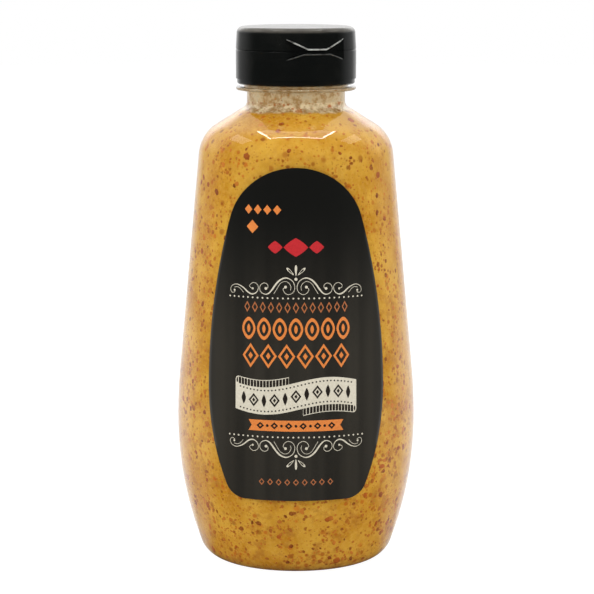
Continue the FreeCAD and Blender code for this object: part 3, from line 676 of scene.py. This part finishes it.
def lip_bead(name, body, sign, half, low, high, proud, material):
    """The rolled edge of the recess, a round bead that thins out at both ends."""
    steps, round_steps, radius, sunk, inset, clear = 44, 8, 0.22, 0.12, 0.15, 0.05
    points, faces = [], []
    for k in range(steps + 1):
        share = 2 * k / steps - 1
        across = share * (RECESS_HALF - inset)
        rise = lip_height(across, half, low, high)
        taper = radius * min(1.0, 0.3 + (1 - abs(share)) * 6)
        for j in range(round_steps):
            turn = 2 * pi * j / round_steps
            depth = sunk - proud * taper / radius + taper * cos(turn)
            height = PARTING + sign * (rise + clear) + taper * sin(turn)
            points.append(on_cap(across, height, depth))
    for k in range(steps):
        faces += band(k * round_steps, (k + 1) * round_steps, round_steps)
    faces.append(tuple(range(round_steps))[::-1])
    faces.append(tuple(steps * round_steps + j for j in range(round_steps)))
    bead = new_piece(name, points, faces, material, body, sharp=60)


def recess_ramp(name, body, sign, half, low, high, material):
    """The two ends of the recess, which slope out to the cap's side."""
    points, faces = [], []
    steps, rows, length, shallow, into_wall, gap = 8, 4, 4.0, 0.1, 0.2, 0.06
    for side in (-1, 1):
        start = len(points)
        for back in (0, 1):
            for k in range(steps + 1):
                share = k / steps
                across = side * (RECESS_HALF - 0.05 - length * share)
                rise = lip_height(across, half, low, high)
                depth = shallow + (RECESS_DEEP - shallow) * sin(share * pi / 2)
                for row in range(rows + 1):
                    height = PARTING + sign * (gap + rise * row / rows)
                    deep = RECESS_DEEP + into_wall if back else depth
                    points.append(on_cap(across, height, deep))
        faces += slab(start, steps, rows)
    ramp_piece = new_piece(name, points, faces, material, body, sharp=50)
    tidy = bmesh.new()
    tidy.from_mesh(ramp_piece.data)
    bmesh.ops.recalc_face_normals(tidy, faces=tidy.faces)
    tidy.to_mesh(ramp_piece.data)
    tidy.free()


def make_cap(material):
    """The CAD cap in its plastic, with the recess's rolled edges, painted pale as highlights,
    and end slopes.
    """
    for name in ("cap_base", "cap_lid"):
        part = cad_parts[name]
        part.data.materials.clear()
        part.data.materials.append(material)
    lid = ("lid", 1, LID_LIP_HALF, LID_LIP_LOW, LID_LIP_HIGH)
    base = ("container", -1, BASE_LIP_HALF, BASE_LIP_LOW, BASE_LIP_HIGH)
    # Painted highlights: the lid's rolled edge is painted near white, the base's a dim grey.
    lip_bead("lid_lip", *lid, 0.1, edge_material("lid_edge", srgb(176, 177, 172)))
    lip_bead("base_lip", *base, 0.0, edge_material("base_edge", srgb(66, 67, 64)))
    recess_ramp("lid_recess_ends", *lid, material)
    recess_ramp("base_recess_ends", *base, material)


# ---- labels


def on_surface(across, height, above, facing=1):
    """A point on the bottle. across is measured round the surface from the middle."""
    radius = radius_at(height, above)
    angle = across / radius
    return facing * radius * sin(angle), -facing * radius * cos(angle), height


def make_label(name, node_name, facing, material):
    """The film, a closed thin shell with the arch outline."""
    columns = 48
    rows = LABEL_EDGE.copy()
    rows[0, 0] = 0.02
    points = []
    for above in (LABEL_THICK, 0.0):
        for half, height in rows:
            radius = radius_at(height, above)
            reach = radius * asin(half / radius)
            for k in range(columns + 1):
                across = reach * (2 * k / columns - 1)
                points.append(on_surface(across, height, above, facing))
    faces = slab(0, len(rows) - 1, columns)
    film = new_piece(name, points, faces, material, sharp=50)
    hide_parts(node_name)


# ---- print
# Flat shapes in millimetres: across from the label's middle, and height.


class Print:
    """One colour of ink: closed flat shapes that are laid on a label."""

    def __init__(self, layer=1):
        self.layer = layer
        self.points, self.faces = [], []

    def strip(self, first, second):
        """A strip between two lines with as many points."""
        start = len(self.points)
        for a, b in zip(first, second):
            self.points += [a, b]
        for k in range(len(first) - 1):
            at = start + 2 * k
            self.faces.append((at, at + 1, at + 3, at + 2))

    def sheet(self, first, second, rows):
        """A strip cut into rows, so that it can follow the surface."""
        lines = []
        for row in range(rows + 1):
            share = row / rows
            line = []
            for a, b in zip(first, second):
                line.append((a[0] + (b[0] - a[0]) * share, a[1] + (b[1] - a[1]) * share))
            lines.append(line)
        for low, high in zip(lines, lines[1:]):
            self.strip(low, high)

    def stroke(self, line, widths):
        """A line with a width at each of its points."""
        line = np.array(line)
        along = np.gradient(line, axis=0)
        along /= np.linalg.norm(along, axis=1)[:, None]
        side = np.stack([-along[:, 1], along[:, 0]], axis=1)
        half = np.array(widths)[:, None] / 2
        self.strip((line + side * half).tolist(), (line - side * half).tolist())

    def fan(self, outline, step=0.7):
        """A filled shape that can be seen whole from its middle, in rings."""
        outline = np.array(outline)
        middle = outline.mean(axis=0)
        reach = np.linalg.norm(outline - middle, axis=1).max()
        rings = max(1, ceil(reach / step))
        start, count = len(self.points), len(outline)
        self.points.append(tuple(middle))
        for ring in range(1, rings + 1):
            scaled = middle + (outline - middle) * ring / rings
            self.points += [tuple(p) for p in scaled]
        for k in range(count):
            after = (k + 1) % count
            self.faces.append((start, start + 1 + k, start + 1 + after))
            for ring in range(rings - 1):
                low = start + 1 + ring * count
                high = low + count
                self.faces.append((low + k, high + k, high + after, low + after))

    def dot(self, across, height, radius, steps=14):
        self.fan(oval(across, height, radius, radius, steps))

    def ring(self, outline, share):
        """The outline's border, down to a share of its size."""
        outline = np.array(outline)
        middle = outline.mean(axis=0)
        inner = middle + (outline - middle) * share
        self.strip(*(np.vstack([loop, loop[:1]]).tolist() for loop in (outline, inner)))

    def moved(self, other, across, height, flip=1):
        """Adds another print's shapes, moved, and upside down if flip is -1."""
        start = len(self.points)
        self.points += [(x + across, flip * z + height) for x, z in other.points]
        for face in other.faces:
            turned = face if flip > 0 else face[::-1]
            self.faces.append(tuple(start + k for k in turned))

    def mirrored(self):
        """Adds the left-right mirror image of every shape so far."""
        start = len(self.points)
        self.points += [(-x, z) for x, z in self.points]
        self.faces += [tuple(start + k for k in face[::-1]) for face in self.faces]

    def lay(self, name, material, facing=1):
        """The ink on a label, as one piece of closed thin shapes."""
        top = LABEL_THICK + INK * self.layer
        sink = LABEL_THICK - 0.05
        count = len(self.points)
        points = [on_surface(x, z, top, facing) for x, z in self.points]
        points += [on_surface(x, z, sink, facing) for x, z in self.points]
        edges, outward = set(), []
        for face in self.faces:
            shape = [self.points[k] for k in face]
            turns = zip(shape, shape[1:] + shape[:1])
            area = sum(a[0] * b[1] - b[0] * a[1] for a, b in turns)
            if abs(area) < 1e-9:
                continue
            face = face if area > 0 else face[::-1]
            outward.append(face)
            edges.update(zip(face, face[1:] + face[:1]))
        faces = outward + [tuple(count + k for k in f[::-1]) for f in outward]
        for a, b in sorted(edges):
            if (b, a) not in edges:
                faces.append((a, count + a, count + b, b))
        piece = new_piece(name, points, faces, material, sharp=40)


def curve_through(points, steps=6):
    """A smooth line through points, with more points between them."""
    points = np.array(points, dtype=float)
    ends = np.vstack([2 * points[0] - points[1], points, 2 * points[-1] - points[-2]])
    line = []
    for k in range(1, len(ends) - 2):
        before, first, second, after = ends[k - 1 : k + 3]
        for step in range(steps):
            t = step / steps
            line.append(
                first
                + 0.5 * t * (second - before)
                + t * t * (before - 2.5 * first + 2 * second - 0.5 * after)
                + t**3 * (1.5 * (first - second) + 0.5 * (after - before))
            )
    line.append(ends[-2])
    return np.array(line)


# One half of a scrollwork border, in millimetres from its dotted line's middle.
BIG_SCROLL = [
    (-2.8, 3.05), (-3.45, 2.4), (-2.9, 1.4), (-1.9, 1.05), (-0.8, 1.6), (-0.3, 2.85),
    (-0.7, 4.35), (-1.8, 5.25), (-2.95, 5.45), (-4.25, 4.9), (-5.4, 3.75), (-6.35, 2.4),
    (-7.3, 1.35), (-8.35, 1.0), (-9.5, 1.55), (-9.9, 2.6), (-9.5, 3.55), (-8.55, 4.0),
    (-7.7, 3.6), (-7.6, 2.85), (-8.15, 2.55),
]
SMALL_SCROLL = [
    (-11.9, 2.4), (-12.65, 2.7), (-12.7, 3.35), (-11.6, 4.0), (-10.5, 3.45),
    (-10.3, 2.4), (-10.9, 1.35), (-12.05, 0.9), (-13.25, 1.35), (-14.3, 2.2),
    (-15.6, 2.95), (-17.05, 3.25), (-18.3, 2.7), (-18.75, 1.7), (-18.25, 0.95),
    (-17.4, 1.15), (-17.45, 1.65),
]
BIG_VEIN = [
    (-5.95, 1.2), (-5.15, 2.5), (-4.2, 3.95), (-2.95, 4.55), (-1.9, 4.1),
    (-1.35, 3.1), (-1.5, 2.2),
]
SMALL_VEIN = [(-14.7, 1.2), (-15.6, 2.15), (-16.55, 2.55), (-17.5, 2.4)]


def scroll_stroke(ink, points, thin, thick, bulb):
    """A pen stroke that swells in its middle and ends in two bulbs."""
    line = curve_through(points)
    places = np.linspace(-1, 1, len(line))
    ink.stroke(line, thin + (thick - thin) * np.exp(-((places / 0.27) ** 2)))
    for end in (line[0], line[-1]):
        ink.dot(end[0], end[1], bulb)


def drop_outline(base, tip, width):
    """A petal that starts as a point and ends round, from base to tip."""
    base, tip = np.array(base), np.array(tip)
    along = tip - base
    length = np.linalg.norm(along)
    along /= length
    side = np.array([-along[1], along[0]])
    outline = []
    steps = 20
    for k in range(2 * steps):
        turn = pi * k / steps
        reach = (1 - cos(turn)) / 2
        half = width / 2 * sin(turn) * (0.35 + 0.65 * reach)
        outline.append(tuple(base + along * length * reach + side * half))
    return outline


def flourish():
    """Scrollwork over a dotted line, which lies at height 0."""
    ink = Print()
    scroll_stroke(ink, BIG_SCROLL, 0.14, 0.45, 0.38)
    scroll_stroke(ink, SMALL_SCROLL, 0.13, 0.37, 0.29)
    for vein in (BIG_VEIN, SMALL_VEIN):
        line = curve_through(vein)
        ink.stroke(line, np.full(len(line), 0.12))
    petal = drop_outline((-0.5, 6.2), (-2.5, 8.15), 0.95)
    ink.ring(petal, 0.58)
    ink.mirrored()
    ink.fan(drop_outline((0, 5.95), (0, 8.9), 0.85))
    ink.dot(0, 5.15, 0.42)
    for x in row_of(28, 1.4):
        ink.dot(x, 0, 0.24, 10)
    return ink


def lozenge(across, height, wide, tall, bow=0.0, steps=6):
    """A diamond outline, or with bow a pointed oval."""
    corners = [(wide / 2, 0), (0, tall / 2), (-wide / 2, 0), (0, -tall / 2)]
    outline = []
    for here, there in zip(corners, corners[1:] + corners[:1]):
        for k in range(steps):
            share = k / steps
            x = here[0] + (there[0] - here[0]) * share
            z = here[1] + (there[1] - here[1]) * share
            swell = 1 + bow * sin(pi * share)
            outline.append((across + x * swell, height + z * swell))
    return outline


def row_of(count, pitch):
    """Places of a row about the middle."""
    return [(k - (count - 1) / 2) * pitch for k in range(count)]


BANNER_HEIGHT, BANNER_HALF, BANNER_TALL = 51.2, 17.0, 7.4
BANNER_WAVE, BANNER_LENGTH = 1.35, 35.5


def banner_middle(x):
    """The height of the waving banner's middle line."""
    return BANNER_HEIGHT + BANNER_WAVE * sin(2 * pi * x / BANNER_LENGTH)


def banner_line(start, end, drop, steps=44):
    """A line along the waving banner, drop below its middle line."""
    places = np.linspace(start, end, steps + 1)
    return [(float(x), banner_middle(x) - drop) for x in places]


def banner_end(side, tall=2.15, droop=0.35, round_off=1.1):
    """The folded-back strip, at the upper left or the lower right.

    It droops towards its outer end, where its corner is rounded off.
    """
    start, end = -BANNER_HALF * side, -1.9 * side
    low, high = [], []
    for x, z in banner_line(start, end, -side * (BANNER_TALL / 2 - 0.2), 88):
        past = (x - start) / (end - start)
        z -= side * droop * (1 - past) ** 2
        near = max(0.0, round_off - abs(x - start))
        cut = round_off - sqrt(round_off**2 - near**2)
        low.append((x, z))
        high.append((x, z + side * (tall - cut)))
    return low, high


def tick(low, high, middle, half, margin):
    """Two short lines that bound a tick across a strip, at a share of its length."""
    steps = len(low) - 1
    sides = []
    for share in (middle - half, middle + half):
        at = share * steps
        whole = min(int(at), steps - 1)
        part = at - whole
        foot = low[whole] * (1 - part) + low[whole + 1] * part
        head = high[whole] * (1 - part) + high[whole + 1] * part
        inset = (head - foot) / np.linalg.norm(head - foot) * margin
        sides.append((tuple(foot + inset), tuple(head - inset)))
    return (sides[0][0], sides[1][0]), (sides[0][1], sides[1][1])


def make_banner(cream, dark):
    """A waving cream ribbon with dotted edges and two folded-back strips."""
    ribbon, marks = Print(), Print(2)
    edge = BANNER_TALL / 2
    foot, head = (banner_line(-BANNER_HALF, BANNER_HALF, drop) for drop in (edge, -edge))
    ribbon.sheet(foot, head, 8)
    for side in (1, -1):
        low, high = banner_end(side)
        ribbon.sheet(low, high, 3)
        low, high, count = np.array(low), np.array(high), 17
        for k in range(1, count):
            marks.strip(*tick(low, high, (k + 0.5) / count, 0.39 / count, margin=0.2))
        spot = (low[3] + high[3]) / 2
        marks.fan(oval(spot[0], spot[1], 0.24, 0.72))
    for drop in (edge - 0.85, 0.95 - edge):
        for x in row_of(32, 1.0):
            marks.dot(x, banner_middle(x) - drop, 0.23, 8)
    for k, x in enumerate(row_of(11, 2.9)):
        height = banner_middle(x)
        if k % 2:
            marks.ring(lozenge(x, height, 2.9, 3.6), 0.62)
            marks.fan(lozenge(x, height, 0.9, 1.2))
        else:
            marks.fan(lozenge(x, height, 1.3, 3.4, 0.15))
    ribbon.lay("banner_ribbon", cream)
    marks.lay("banner_marks", dark)


def make_pennant(orange, dark):
    """The short orange ribbon with swallow tails, and a row of small marks."""
    height, half, tall, notch = 43.2, 13.1, 2.95, 0.95
    ribbon = Print()
    places = np.linspace(-half, half, 29)
    low, middle, high = ([(x, height + z) for x in places] for z in (-tall / 2, 0, tall / 2))
    middle[0], middle[-1] = (-half + notch, height), (half - notch, height)
    ribbon.strip(low, middle)
    ribbon.strip(middle, high)
    ribbon.lay("pennant", orange)
    marks = Print(2)
    for k, x in enumerate(row_of(11, 1.95)):
        if k % 2:
            marks.dot(x, height, 0.38)
        else:
            marks.ring(lozenge(x, height, 2.1, 1.9), 0.4)
    marks.lay("pennant_marks", dark)


# Heights of the printed rows on the front label, and of the scrollwork on both.
FRONT_SCROLLS, BACK_SCROLLS = (77.4, 40.1), (84.0, 36.0)
RED_ROW, TOP_ROW, OVAL_ROW, LOZENGE_ROW, FOOT_ROW = 91.0, 74.9, 69.15, 61.9, 27.6
# The ruled lines on the back: lowest, end of range, pitch, thickness and half length.
RULE_LOW, RULE_END, RULE_PITCH, RULE_THICK, RULE_HALF = 44.0, 77.0, 4.0, 0.35, 16.5


def make_print():
    """Everything printed on both labels: ornament, ribbons, plain motifs and ruled lines."""
    cream, orange, dull, red, dark = (
        ink_material(name + "_ink", srgb(*colour), srgb(*patchy))
        for name, colour, patchy in (
            ("cream", (225, 218, 199), (207, 198, 175)),
            ("orange", (236, 138, 60), (220, 120, 48)),
            ("dull_orange", (190, 112, 62), (160, 92, 52)),
            ("red", (206, 34, 42), (186, 26, 34)),
            ("dark", (42, 34, 26), (30, 24, 18)),
        )
    )

    scrolls = Print()
    scrolls.moved(flourish(), 0, FRONT_SCROLLS[0])
    scrolls.moved(flourish(), 0, FRONT_SCROLLS[1], -1)
    scrolls.lay("scrollwork", cream)

    rows = Print()
    for x in row_of(7, 4.35):
        rows.ring(lozenge(x, OVAL_ROW, 3.9, 6.0, 0.32), 0.68)
        rows.fan(lozenge(x, OVAL_ROW, 0.95, 2.3, 0.3))
    for x in row_of(6, 5.0):
        rows.ring(lozenge(x, LOZENGE_ROW, 4.7, 6.6), 0.7)
        rows.fan(lozenge(x, LOZENGE_ROW, 1.3, 1.9))
    rows.lay("orange_motifs", orange)

    small = Print()
    for x in row_of(13, 2.25):
        small.ring(lozenge(x, TOP_ROW, 1.7, 3.0), 0.62)
    for x in row_of(9, 2.35):
        small.ring(lozenge(x, FOOT_ROW, 1.6, 1.9), 0.6)
    small.lay("small_motifs", dull)

    badge = Print()
    for x, wide, tall in ((0, 6.6, 5.0), (-5.6, 4.0, 3.4), (5.6, 4.0, 3.4)):
        badge.fan(lozenge(x, RED_ROW, wide, tall, 0.1))
    badge.lay("red_motif", red)

    corner = Print()
    for x in row_of(4, 2.7):
        corner.fan(lozenge(x - 9.1, 100.9, 2.2, 2.6))
    corner.fan(lozenge(-12.0, 96.3, 3.4, 3.6))
    corner.lay("corner_motif", orange)

    make_banner(cream, dark)
    make_pennant(orange, dark)

    back = Print()
    back.moved(flourish(), 0, BACK_SCROLLS[0])
    back.moved(flourish(), 0, BACK_SCROLLS[1], -1)
    places = np.linspace(-RULE_HALF, RULE_HALF, 67)  # close steps, to follow the round label
    for z in np.arange(RULE_LOW, RULE_END, RULE_PITCH):
        back.strip([(x, z) for x in places], [(x, z + RULE_THICK) for x in places])
    back.lay("back_print", cream, -1)


# ---- stage


# How the pale reflection rises round the sides: direction Y from and to, strength from and to.
SIDE_GLOSS = (-0.1, 0.5, 0.06, 0.5)
FLOOR_RADIUS = 2.5  # metres


def by_ray(tree, plain, gloss, seen):
    """plain where it lights things, gloss in reflections and glass, seen to the camera."""
    path = node(tree, "LightPath").outputs
    shiny = maths(tree, "MAXIMUM", path["Is Glossy Ray"], path["Is Transmission Ray"])
    others = node(tree, "MixShader", {0: shiny, 1: plain, 2: gloss}).outputs[0]
    inputs = {0: path["Is Camera Ray"], 1: others, 2: seen}
    return node(tree, "MixShader", inputs).outputs[0]


def gloss_by_direction(tree, direction, *behind):
    """Dim in front, grey at the sides and, by the ramp behind, pale behind the object."""
    back = ramp(tree, direction, *behind)
    return maths(tree, "MAXIMUM", back, ramp(tree, direction, *SIDE_GLOSS))


def make_floor():
    """A pale floor that shows white to the eye and keeps a faint shadow."""
    material, tree = new_material("floor")
    grey = node(tree, "BsdfDiffuse", {"Color": (0.25, 0.25, 0.25, 1)})
    glow = node(tree, "Emission", {"Color": WHITE, "Strength": 0.92})
    seen = node(tree, "AddShader", {0: grey.outputs[0], 1: glow.outputs[0]})
    place = node(tree, "TexCoord").outputs["Object"]
    way = node(tree, "VectorMath", {0: place}, operation="NORMALIZE").outputs["Vector"]
    away = node(tree, "VectorMath", {0: place}, operation="LENGTH").outputs["Value"]
    back = node(tree, "SeparateXYZ", {0: way}).outputs["Y"]
    strength = gloss_by_direction(tree, back, 0.55, 0.9, 0.07, 0.95)
    # The lower sides mirror the floor close by, so it is paler there: how direction counts,
    # and how far off, in metres, it starts and is full.
    for by_direction, by_distance in (
        ((0.0, 0.6, 0.0, 1.1), (1.6, 0.4)),
        ((-0.45, 0.1, 0.0, 0.7), (0.6, 0.25)),
    ):
        close = ramp(tree, away, *by_distance)
        close = maths(tree, "MULTIPLY", ramp(tree, back, *by_direction), close)
        strength = maths(tree, "MAXIMUM", strength, close)
    gloss = node(tree, "Emission", {"Color": WHITE, "Strength": strength})
    plain = node(tree, "BsdfDiffuse", {"Color": (0.75, 0.75, 0.74, 1)})
    shaders = [made.outputs[0] for made in (plain, gloss, seen)]
    finish_material(tree, by_ray(tree, *shaders))
    mesh = bpy.data.meshes.new("floor")
    rim = [(x, y, 0) for x, y in oval(0, 0, FLOOR_RADIUS, FLOOR_RADIUS, 64)]
    mesh.from_pydata(rim, [], [tuple(range(len(rim)))])
    mesh.materials.append(material)
    add_object("floor", mesh)


def make_world():
    """White to the eye; a plain level of light; in gloss, white behind and dim in front."""
    world = bpy.data.worlds.new("studio")
    bpy.context.scene.world = world
    world.use_nodes = True
    tree = world.node_tree
    tree.nodes.clear()
    way = node(tree, "TexCoord").outputs["Generated"]
    axes = node(tree, "SeparateXYZ", {0: way}).outputs
    strength = gloss_by_direction(tree, axes["Y"], 0.64, 0.91, 0.06, 1.0)
    upward = ramp(tree, axes["Z"], 0.02, 0.35, 1.0, 2.2)
    strength = maths(tree, "MULTIPLY", strength, upward)
    light, gloss, seen = (
        node(tree, "Background", {"Color": WHITE, "Strength": value}).outputs[0]
        for value in (0.45, strength, 1.0)
    )
    node(tree, "OutputWorld", {"Surface": by_ray(tree, light, gloss, seen)})


def aim(thing, place, target):
    """Puts a light or the camera at a place, turned towards a target."""
    thing.location = place
    way = Vector(target) - Vector(place)
    thing.rotation_euler = way.to_track_quat("-Z", "Y").to_euler()


def make_light(name, place, target, wide, tall, radiance, glossy=True):
    """A rectangular light of a given brightness, aimed at a point."""
    data = bpy.data.lights.new(name, "AREA")
    data.shape = "RECTANGLE"
    data.size, data.size_y = wide, tall
    data.energy = radiance * pi * wide * tall
    lamp = add_object(name, data)
    aim(lamp, place, target)
    lamp.visible_glossy = glossy


def make_lights():
    """A softbox overhead with bright edges, two beside it, and two soft fill lights."""
    ceiling, wide, near, far = 0.92, 0.63, -0.155, 0.31
    middle, deep = (near + far) / 2, far - near
    edge, below = 0.03, ceiling - 0.005

    def down(name, x, y, z, *rest):
        make_light(name, (x, y, z), (x, y, 0), *rest)

    down("overhead", 0, middle, ceiling, wide, deep, 1.5)
    down("edge_front", 0, near, below, wide, edge, 17.0)
    for side in (-1, 1):
        down(f"edge_{side}", side * wide / 2, middle, below, edge, deep, 15.0)
        down(f"beside_{side}", side * 0.8, 0.12, ceiling, 0.36, 0.5, 1.6)
    shoulder = (0.0, 0.0, 0.12)
    make_light("front_left", (-1.2, -0.62, 0.62), shoulder, 0.9, 0.9, 3.5, glossy=False)
    make_light("front_right", (1.2, -0.6, 0.6), shoulder, 0.9, 0.9, 3.1, glossy=False)


CAMERA_PLACE, CAMERA_TARGET = (0.00028, -0.672, 0.1753), (0.00028, 0, 0.0732)
CAMERA_LENS, CAMERA_SENSOR = 147.2, 36.0


def make_camera():
    """A little above the cap, looking slightly down, as a product is shown."""
    data = bpy.data.cameras.new("camera")
    data.lens, data.sensor_width = CAMERA_LENS, CAMERA_SENSOR
    data.clip_start = 0.01
    camera = add_object("camera", data)
    aim(camera, CAMERA_PLACE, CAMERA_TARGET)
    bpy.context.scene.camera = camera


# ---- build

make_shell()
make_mustard()
make_smear()
make_seeds()
label_film = label_material()
make_label("front_film", "front_label", 1, label_film)
make_label("back_film", "back_label", -1, label_film)
make_print()
make_cap(cap_material())

make_floor()
make_world()
make_lights()
make_camera()
bpy.context.scene.view_settings.view_transform = "Standard"
